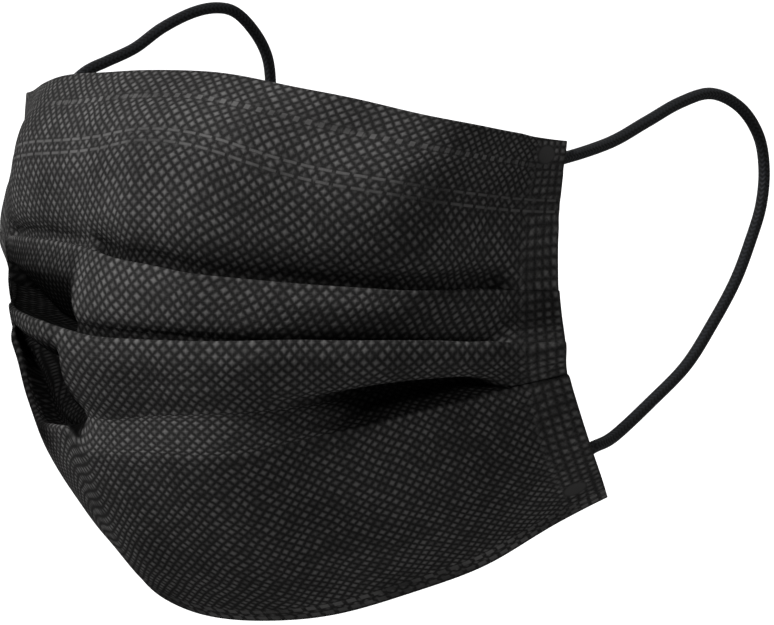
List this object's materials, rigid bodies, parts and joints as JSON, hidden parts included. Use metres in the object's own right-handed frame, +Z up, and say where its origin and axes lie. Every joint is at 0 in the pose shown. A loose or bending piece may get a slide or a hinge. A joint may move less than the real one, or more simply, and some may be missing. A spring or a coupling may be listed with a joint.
{
  "type": "disposable face mask",
  "caption": "Black pleated disposable face mask in its worn shape: embossed nonwoven cloth panel, nose wire in the top hem and round elastic ear loops.",
  "frame": {"origin": "the seat on the bridge of the nose: the inner face of the top hem, on the centre line, 8 mm below the top edge", "axes": "+Z up, -Y the way the wearer faces, +X towards the wearer's left"},
  "size_m": [0.1399, 0.1468, 0.1116],
  "materials": {
    "cloth": "matte with slightly glossy embossed spots",
    "elastic": "matte knitted cord",
    "wire": "matte coating on a soft metal core"
  },
  "bodies": {
    "root": {"mask_panel": "cloth", "nose_wire": "wire", "ear_loop_left": "elastic", "ear_loop_right": "elastic"}
  },
  "joints": []
}
